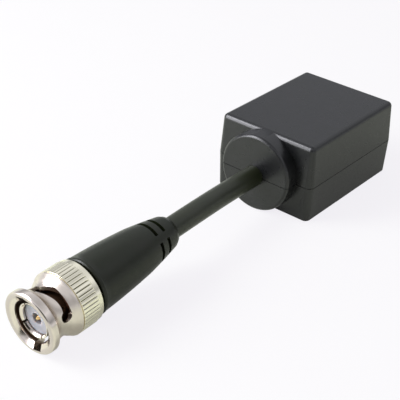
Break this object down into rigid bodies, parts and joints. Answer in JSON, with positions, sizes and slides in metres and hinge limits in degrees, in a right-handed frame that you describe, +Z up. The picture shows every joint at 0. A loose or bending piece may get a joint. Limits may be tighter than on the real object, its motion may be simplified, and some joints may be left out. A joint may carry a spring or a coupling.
{
  "type": "cctv video balun",
  "caption": "Small black clamshell box with a modular jack in its rear and a short round coaxial pigtail that ends in a booted bayonet plug with a turning coupling nut",
  "frame": {"origin": "under the middle of the housing with its collar, on the surface the housing rests on", "axes": "+Z up, +Y from the cable collar to the jack, the cable and plug lie towards -Y"},
  "size_m": [0.0286, 0.1155, 0.0201],
  "materials": {
    "housing_plastic": "fine matte moulding grain",
    "jack_plastic": "satin",
    "board_laminate": "satin solder mask",
    "chip_resin": "matte",
    "capacitor_ceramic": "matte",
    "ferrite": "matte",
    "enamelled_copper": "gloss enamel",
    "bare_copper": "bright",
    "gold_plate": "bright gold plate",
    "nickel_plate": "bright nickel plate",
    "plain_steel": "plain",
    "spring_steel": "bright",
    "cable_jacket": "satin",
    "boot_plastic": "satin",
    "gasket_rubber": "matte",
    "dielectric": "waxy",
    "insulator_white": "satin"
  },
  "bodies": {
    "box_and_cable": {"upper_shell": "housing_plastic", "lower_shell": "housing_plastic", "circuit_board": "board_laminate", "jack_housing": "jack_plastic", "jack_contact_carrier": "jack_plastic", "jack_contacts": "gold_plate", "transformer_core": "ferrite", "primary_winding": "enamelled_copper", "secondary_winding": "enamelled_copper", "surge_suppressor": "chip_resin", "filter_capacitor": "capacitor_ceramic", "matching_resistor": "chip_resin", "cable_clamp_ring": "plain_steel", "board_end_dielectric": "dielectric", "board_end_conductor": "bare_copper", "board_end_braid": "bare_copper", "cable": "cable_jacket", "plug_boot": "boot_plastic", "crimp_ferrule": "nickel_plate", "plug_end_braid": "bare_copper", "plug_end_dielectric": "dielectric", "plug_end_conductor": "bare_copper", "plug_body": "nickel_plate", "plug_insulator": "insulator_white", "centre_pin": "gold_plate", "plug_gasket": "gasket_rubber", "wave_spring": "spring_steel"},
    "washer_body": {"thrust_washer": "plain_steel"},
    "nut_body": {"coupling_nut": "nickel_plate"}
  },
  "joints": [
    {"name": "nut_spring", "type": "slide", "parent": "box_and_cable", "child": "washer_body", "axis": [-0.0113, -0.9974, -0.071], "range_m": [0, 0.0008], "stiffness_N_per_m": 1000, "deforming": ["wave_spring"]},
    {"name": "nut_turn", "type": "hinge", "parent": "washer_body", "child": "nut_body", "pos_m": [0.00124, -0.08213, 0.00795], "axis": [0.0113, 0.9974, 0.071], "continuous": true}
  ]
}
